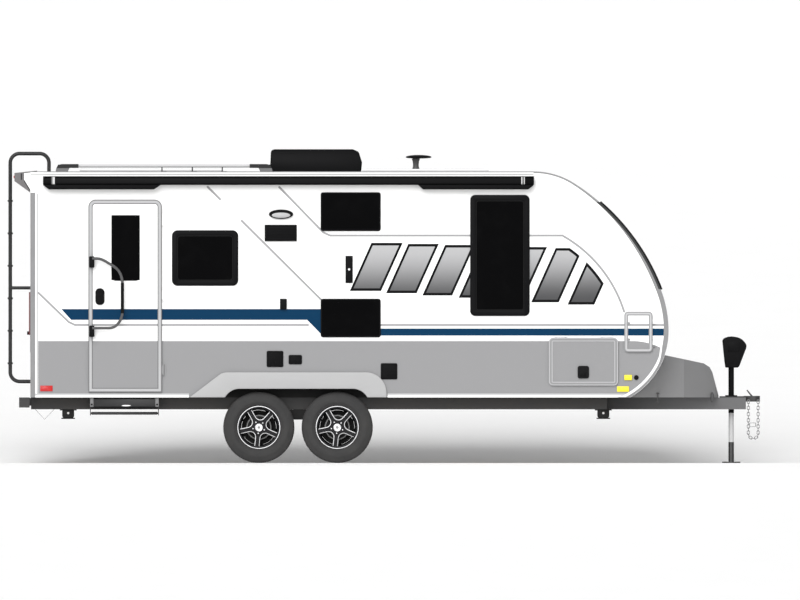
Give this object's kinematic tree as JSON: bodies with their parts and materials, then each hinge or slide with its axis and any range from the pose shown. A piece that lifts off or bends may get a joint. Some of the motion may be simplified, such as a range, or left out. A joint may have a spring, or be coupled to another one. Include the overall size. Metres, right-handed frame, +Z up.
{
  "type": "travel caravan",
  "caption": "Twin-axle travel caravan with a hollow insulated body, rounded front, side door, luggage doors, roof gear, awning case and an A-frame tongue with a jack.",
  "frame": {"origin": "on the ground, at mid length, on the centreline of the body", "axes": "+X forward to the hitch, +Y to the road side, +Z up"},
  "size_m": [7.2609, 2.56, 3.028],
  "materials": {
    "body_white": "gloss",
    "silver_trim": "satin",
    "fender_grey": "satin",
    "chassis_black": "satin",
    "black_alloy": "satin",
    "black_plastic": "satin",
    "dark_glass": "polished",
    "floor_wood": "matt",
    "tub_black": "matt",
    "solar_blue": "polished",
    "red_lens": "polished",
    "amber_lens": "polished",
    "lamp_silver": "polished",
    "locker_grey": "satin",
    "baggage_grey": "gloss",
    "handle_grey": "satin",
    "jack_chrome": "polished",
    "chain_steel": "satin",
    "tyre_black": "matt",
    "wheel_alloy": "satin"
  },
  "bodies": {
    "caravan": {"frame_rails": "chassis_black", "cross_members": "chassis_black", "tongue_beams": "chassis_black", "rear_bumper": "chassis_black", "floor": "floor_wood", "wheel_wells": "tub_black", "wall_right": "body_white", "wall_left": "body_white", "roof": "body_white", "front_cap": "body_white", "rear_wall": "body_white", "edge_trims": "silver_trim", "skirt_trims": "body_white", "fender_skirts": "fender_grey", "rear_spoiler": "body_white", "storage_bulkhead": "floor_wood", "window_frames": "black_plastic", "window_glass": "dark_glass", "awning_case": "black_plastic", "awning_arms": "black_plastic", "roof_cooler": "black_plastic", "roof_rails": "black_plastic", "solar_panels": "solar_blue", "antenna": "black_plastic", "ladder_stiles": "black_alloy", "ladder_rungs": "black_alloy", "red_lamps": "red_lens", "amber_lamps": "amber_lens", "porch_light": "lamp_silver", "service_hatches": "black_plastic", "wall_fittings": "black_plastic", "door_hinges": "silver_trim", "axles": "chassis_black", "leaf_springs": "chassis_black", "spring_hangers": "chassis_black", "stabilizers": "chassis_black", "step_frame": "black_alloy", "gas_locker": "locker_grey", "jack_post": "black_plastic", "jack_head": "black_plastic", "jack_leg": "jack_chrome", "coupler": "chassis_black", "safety_chains": "chain_steel"},
    "entry_door_body": {"entry_door": "body_white", "door_glass": "dark_glass", "door_latch": "black_plastic", "grab_handle": "handle_grey"},
    "baggage_right_body": {"baggage_door_right": "baggage_grey"},
    "baggage_left_body": {"baggage_door_left": "baggage_grey"},
    "hatch_body": {"hatch_door": "body_white"},
    "step_body": {"entry_step": "black_alloy"},
    "wheel_front_right_body": {"tyre_front_right": "tyre_black", "wheel_front_right": "wheel_alloy"},
    "wheel_rear_right_body": {"tyre_rear_right": "tyre_black", "wheel_rear_right": "wheel_alloy"},
    "wheel_front_left_body": {"tyre_front_left": "tyre_black", "wheel_front_left": "wheel_alloy"},
    "wheel_rear_left_body": {"tyre_rear_left": "tyre_black", "wheel_rear_left": "wheel_alloy"}
  },
  "joints": [
    {"name": "wheel_front_right", "type": "hinge", "parent": "caravan", "child": "wheel_front_right_body", "pos_m": [-0.454, -1.092, 0.344], "axis": [0, 1, 0], "continuous": true},
    {"name": "wheel_front_left", "type": "hinge", "parent": "caravan", "child": "wheel_front_left_body", "pos_m": [-0.454, 1.092, 0.344], "axis": [0, 1, 0], "continuous": true},
    {"name": "wheel_rear_right", "type": "hinge", "parent": "caravan", "child": "wheel_rear_right_body", "pos_m": [-1.21, -1.092, 0.344], "axis": [0, 1, 0], "continuous": true},
    {"name": "wheel_rear_left", "type": "hinge", "parent": "caravan", "child": "wheel_rear_left_body", "pos_m": [-1.21, 1.092, 0.344], "axis": [0, 1, 0], "continuous": true},
    {"name": "entry_door_hinge", "type": "hinge", "parent": "caravan", "child": "entry_door_body", "pos_m": [-2.133, -1.23, 1.612], "axis": [0, 0, 1], "range_deg": [0, 120]},
    {"name": "baggage_right_hinge", "type": "hinge", "parent": "caravan", "child": "baggage_right_body", "pos_m": [1.9225, -1.23, 1.222], "axis": [-1, 0, 0], "range_deg": [0, 160]},
    {"name": "baggage_left_hinge", "type": "hinge", "parent": "caravan", "child": "baggage_left_body", "pos_m": [1.9225, 1.23, 1.222], "axis": [1, 0, 0], "range_deg": [0, 160]},
    {"name": "hatch_hinge", "type": "hinge", "parent": "caravan", "child": "hatch_body", "pos_m": [2.602, -1.23, 1.2655], "axis": [0, 0, 1], "range_deg": [0, 120]},
    {"name": "step_pivot", "type": "hinge", "parent": "caravan", "child": "step_body", "pos_m": [-2.507, -1.165, 0.48], "axis": [-1, 0, 0], "range_deg": [0, 180]}
  ]
}
